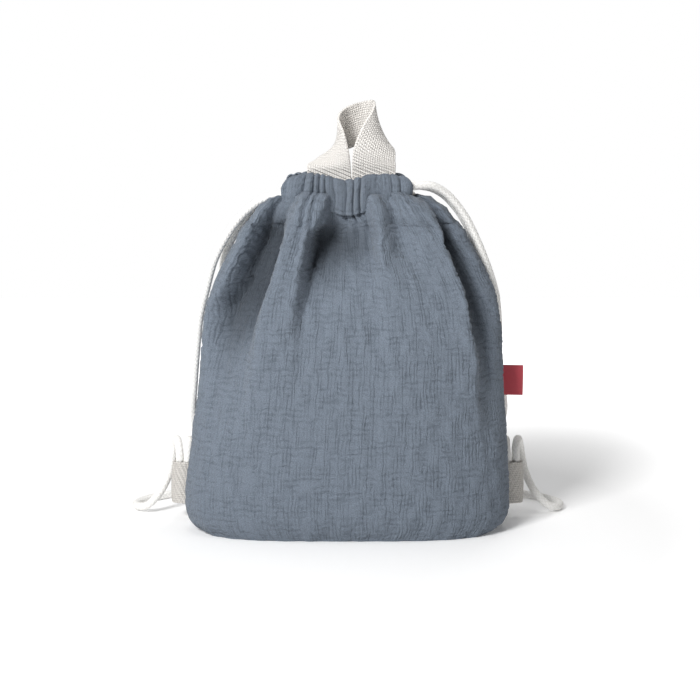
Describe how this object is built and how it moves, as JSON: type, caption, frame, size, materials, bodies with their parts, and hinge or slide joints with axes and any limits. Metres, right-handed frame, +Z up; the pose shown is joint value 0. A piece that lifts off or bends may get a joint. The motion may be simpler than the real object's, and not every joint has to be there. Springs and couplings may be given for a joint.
{
  "type": "drawstring backpack",
  "caption": "Lined cotton drawstring backpack, gathered at the mouth on draw cords that hang as shoulder straps and end in webbing corner tabs, with a carry loop and a side label.",
  "frame": {"origin": "on the floor under the middle of the bag", "axes": "+Z up, the front faces -Y, +X to the right seen from the front"},
  "size_m": [0.3391, 0.1545, 0.3186],
  "materials": {
    "slate_cotton": "crinkled double gauze, matte",
    "lining_cotton": "plain thin cotton, matte",
    "cotton_cord": "braided, matte",
    "cotton_webbing": "woven webbing, matte",
    "woven_label": "fine weave, slight sheen"
  },
  "bodies": {
    "bag": {"front_panel": "slate_cotton", "back_panel": "slate_cotton", "base_panel": "slate_cotton", "lining": "lining_cotton", "front_hem_tunnel": "slate_cotton", "back_hem_tunnel": "slate_cotton", "left_draw_cord": "cotton_cord", "right_draw_cord": "cotton_cord", "left_front_strand": "cotton_cord", "left_back_strand": "cotton_cord", "right_front_strand": "cotton_cord", "right_back_strand": "cotton_cord", "left_inner_tail": "cotton_cord", "left_outer_tail": "cotton_cord", "right_inner_tail": "cotton_cord", "right_outer_tail": "cotton_cord", "carry_loop_left_sewn_end": "cotton_webbing", "carry_loop_right_sewn_end": "cotton_webbing"},
    "loop": {"carry_loop": "cotton_webbing"},
    "label": {"side_label": "woven_label"},
    "left_corner": {"left_tab": "cotton_webbing", "left_inner_cord_end": "cotton_cord", "left_outer_cord_end": "cotton_cord"},
    "right_corner": {"right_tab": "cotton_webbing", "right_inner_cord_end": "cotton_cord", "right_outer_cord_end": "cotton_cord"}
  },
  "joints": [
    {"name": "loop_fold", "type": "hinge", "parent": "bag", "child": "loop", "pos_m": [0.003, 0.0053, 0.26775], "axis": [1, 0, 0], "range_deg": [-20, 50], "stiffness_Nm_per_rad": 0.02},
    {"name": "label_fold", "type": "hinge", "parent": "bag", "child": "label", "pos_m": [0.1127, 0.0176, 0.109], "axis": [0, 0, 1], "range_deg": [-18, 40], "stiffness_Nm_per_rad": 0.001},
    {"name": "left_tab_fold", "type": "hinge", "parent": "bag", "child": "left_corner", "pos_m": [-0.1179, 0.018, 0.029], "axis": [0, 0, -1], "range_deg": [-18, 40], "stiffness_Nm_per_rad": 0.005, "deforming": ["left_inner_tail", "left_outer_tail"]},
    {"name": "right_tab_fold", "type": "hinge", "parent": "bag", "child": "right_corner", "pos_m": [0.118, 0.018, 0.029], "axis": [0, 0, 1], "range_deg": [-18, 40], "stiffness_Nm_per_rad": 0.005, "deforming": ["right_inner_tail", "right_outer_tail"]}
  ]
}
